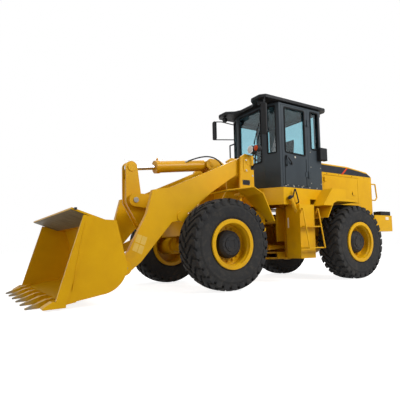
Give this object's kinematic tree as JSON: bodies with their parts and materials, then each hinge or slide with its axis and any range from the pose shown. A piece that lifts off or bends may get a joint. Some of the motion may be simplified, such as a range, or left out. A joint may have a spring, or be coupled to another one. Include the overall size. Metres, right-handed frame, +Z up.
{
  "type": "articulated wheel loader",
  "caption": "Articulated wheel loader with a toothed bucket on lift arms, a hinged front frame, a cab with doors and a hatched engine housing.",
  "frame": {"origin": "middle of the overall box, on the ground", "axes": "+X forward to the bucket, +Y to the left, +Z up"},
  "size_m": [7.15, 2.45, 3.242],
  "materials": {
    "yellow_paint": "semi-gloss paint",
    "cylinder_paint": "semi-gloss paint",
    "rod_chrome": "polished",
    "pin_steel": "greased",
    "dark_paint": "satin paint",
    "black_plastic": "moulded",
    "tyre_rubber": "dusty",
    "window_glass": "clear",
    "seat_cloth": "woven"
  },
  "bodies": {
    "rear_body": {"rear_frame": "yellow_paint", "rear_axle": "yellow_paint", "deck": "yellow_paint", "tank_left": "yellow_paint", "tank_right": "yellow_paint", "rear_fenders": "yellow_paint", "hood": "yellow_paint", "rear_grille": "dark_paint", "engine_block": "dark_paint", "counterweight": "yellow_paint", "cab_shell": "dark_paint", "cab_roof": "black_plastic", "cab_glass": "window_glass", "seat": "seat_cloth", "steering_column": "black_plastic", "mirrors": "black_plastic", "work_lamps": "black_plastic", "intake_box": "black_plastic", "handrails": "yellow_paint"},
    "cab_door_left": {"cab_door_left": "dark_paint", "door_glass_left": "window_glass"},
    "cab_door_right": {"cab_door_right": "dark_paint", "door_glass_right": "window_glass"},
    "hood_door_left": {"hood_door_left": "yellow_paint"},
    "hood_door_right": {"hood_door_right": "yellow_paint"},
    "front_body": {"front_frame": "yellow_paint", "boom_pins": "pin_steel", "front_axle": "yellow_paint", "front_fenders": "yellow_paint", "headlamps": "black_plastic"},
    "lift_arms": {"lift_arms": "yellow_paint"},
    "rocker_pin": {"rocker_pin": "pin_steel"},
    "rocker": {"rocker": "yellow_paint"},
    "link_pin": {"link_pin": "pin_steel"},
    "link": {"link": "yellow_paint"},
    "bucket_pins": {"bucket_pins": "pin_steel"},
    "bucket": {"bucket": "yellow_paint"},
    "lift_barrels": {"lift_barrels": "cylinder_paint"},
    "lift_rods": {"lift_rods": "rod_chrome"},
    "tilt_barrel": {"tilt_barrel": "cylinder_paint"},
    "tilt_rod": {"tilt_rod": "rod_chrome"},
    "steer_barrel_left": {"steer_barrel_left": "cylinder_paint"},
    "steer_rod_left": {"steer_rod_left": "rod_chrome"},
    "wheel_front_left": {"tyre_front_left": "tyre_rubber", "rim_front_left": "yellow_paint"},
    "wheel_rear_left": {"tyre_rear_left": "tyre_rubber", "rim_rear_left": "yellow_paint"},
    "steer_barrel_right": {"steer_barrel_right": "cylinder_paint"},
    "steer_rod_right": {"steer_rod_right": "rod_chrome"},
    "wheel_front_right": {"tyre_front_right": "tyre_rubber", "rim_front_right": "yellow_paint"},
    "wheel_rear_right": {"tyre_rear_right": "tyre_rubber", "rim_rear_right": "yellow_paint"}
  },
  "joints": [
    {"name": "steering", "type": "hinge", "parent": "rear_body", "child": "front_body", "pos_m": [-0.515, 0, 1.1], "axis": [0, 0, 1], "range_deg": [-36, 36]},
    {"name": "lift", "type": "hinge", "parent": "front_body", "child": "lift_arms", "pos_m": [0.259, 0, 1.992], "axis": [0, -1, 0], "range_deg": [0, 80]},
    {"name": "bucket_pin_turn", "type": "hinge", "parent": "lift_arms", "child": "bucket_pins", "pos_m": [2.355, 0, 0.385], "axis": [0, -1, 0], "range_deg": [-64.56, 0]},
    {"name": "bucket_tilt", "type": "hinge", "parent": "bucket_pins", "child": "bucket", "pos_m": [2.355, 0, 0.385], "axis": [0, 1, 0], "range_deg": [-43, 52]},
    {"name": "rocker_pin_turn", "type": "hinge", "parent": "lift_arms", "child": "rocker_pin", "pos_m": [1.963, 0, 1.353], "axis": [0, -1, 0], "range_deg": [0, 25.18]},
    {"name": "rocker_turn", "type": "hinge", "parent": "rocker_pin", "child": "rocker", "pos_m": [1.963, 0, 1.353], "axis": [0, -1, 0], "range_deg": [-10.77, 13.02]},
    {"name": "link_pin_turn", "type": "hinge", "parent": "rocker", "child": "link_pin", "pos_m": [1.706, 0, 0.818], "axis": [0, -1, 0], "range_deg": [-17.27, 0]},
    {"name": "link_turn", "type": "hinge", "parent": "link_pin", "child": "link", "pos_m": [1.706, 0, 0.818], "axis": [0, -1, 0], "range_deg": [-12.2, 10.09]},
    {"name": "tilt_barrel_swing", "type": "hinge", "parent": "front_body", "child": "tilt_barrel", "pos_m": [0.573, 0, 2.03], "axis": [0, -1, 0], "range_deg": [0, 92.37]},
    {"name": "tilt_rod_slide", "type": "slide", "parent": "tilt_barrel", "child": "tilt_rod", "axis": [0.9927, 0, -0.1206], "range_m": [-0.1112, 0.092]},
    {"name": "lift_barrel_swing", "type": "hinge", "parent": "front_body", "child": "lift_barrels", "pos_m": [-0.085, 0, 0.77], "axis": [0, -1, 0], "range_deg": [0, 45.98]},
    {"name": "lift_rod_slide", "type": "slide", "parent": "lift_barrels", "child": "lift_rods", "axis": [0.9807, 0, 0.1956], "range_m": [0, 1.0988]},
    {"name": "steer_barrel_left_swing", "type": "hinge", "parent": "rear_body", "child": "steer_barrel_left", "pos_m": [-1.035, 0.29, 0.6], "axis": [0, 0, 1], "range_deg": [-13.15, 13.15]},
    {"name": "steer_rod_left_slide", "type": "slide", "parent": "steer_barrel_left", "child": "steer_rod_left", "axis": [0.9995, -0.0301, 0], "range_m": [-0.1702, 0.1702]},
    {"name": "cab_door_left", "type": "hinge", "parent": "rear_body", "child": "cab_door_left", "pos_m": [-1.203, 0.664, 2.38], "axis": [0, 0, 1], "range_deg": [0, 95]},
    {"name": "hood_door_left", "type": "hinge", "parent": "rear_body", "child": "hood_door_left", "pos_m": [-1.679, 0.614, 1.7], "axis": [0, 0, -1], "range_deg": [0, 90]},
    {"name": "wheel_front_left", "type": "hinge", "parent": "front_body", "child": "wheel_front_left", "pos_m": [0.92, 0.92, 0.665], "axis": [0, 1, 0], "continuous": true},
    {"name": "wheel_rear_left", "type": "hinge", "parent": "rear_body", "child": "wheel_rear_left", "pos_m": [-1.95, 0.92, 0.665], "axis": [0, 1, 0], "continuous": true},
    {"name": "steer_barrel_right_swing", "type": "hinge", "parent": "rear_body", "child": "steer_barrel_right", "pos_m": [-1.035, -0.29, 0.6], "axis": [0, 0, 1], "range_deg": [-13.15, 13.15]},
    {"name": "steer_rod_right_slide", "type": "slide", "parent": "steer_barrel_right", "child": "steer_rod_right", "axis": [0.9995, 0.0301, 0], "range_m": [-0.1702, 0.1702]},
    {"name": "cab_door_right", "type": "hinge", "parent": "rear_body", "child": "cab_door_right", "pos_m": [-1.203, -0.664, 2.38], "axis": [0, 0, -1], "range_deg": [0, 95]},
    {"name": "hood_door_right", "type": "hinge", "parent": "rear_body", "child": "hood_door_right", "pos_m": [-1.679, -0.614, 1.7], "axis": [0, 0, 1], "range_deg": [0, 90]},
    {"name": "wheel_front_right", "type": "hinge", "parent": "front_body", "child": "wheel_front_right", "pos_m": [0.92, -0.92, 0.665], "axis": [0, 1, 0], "continuous": true},
    {"name": "wheel_rear_right", "type": "hinge", "parent": "rear_body", "child": "wheel_rear_right", "pos_m": [-1.95, -0.92, 0.665], "axis": [0, 1, 0], "continuous": true}
  ],
  "couplings": [
    {"joint": "bucket_pin_turn", "follows": "lift", "ratio": -0.8062},
    {"joint": "rocker_pin_turn", "follows": "lift", "ratio": 0.3144},
    {"joint": "rocker_turn", "follows": "bucket_tilt", "ratio": 0.25},
    {"joint": "link_pin_turn", "follows": "lift", "ratio": -0.2156},
    {"joint": "link_turn", "follows": "bucket_tilt", "ratio": -0.2341},
    {"joint": "tilt_barrel_swing", "follows": "lift", "ratio": 1.1535},
    {"joint": "tilt_rod_slide", "follows": "bucket_tilt", "m_per_rad": -0.1223},
    {"joint": "lift_barrel_swing", "follows": "lift", "ratio": 0.5742},
    {"joint": "lift_rod_slide", "follows": "lift", "m_per_rad": 0.7862},
    {"joint": "steer_barrel_left_swing", "follows": "steering", "ratio": 0.3645},
    {"joint": "steer_rod_left_slide", "follows": "steering", "m_per_rad": -0.2703},
    {"joint": "steer_barrel_right_swing", "follows": "steering", "ratio": 0.3645},
    {"joint": "steer_rod_right_slide", "follows": "steering", "m_per_rad": 0.2703}
  ]
}
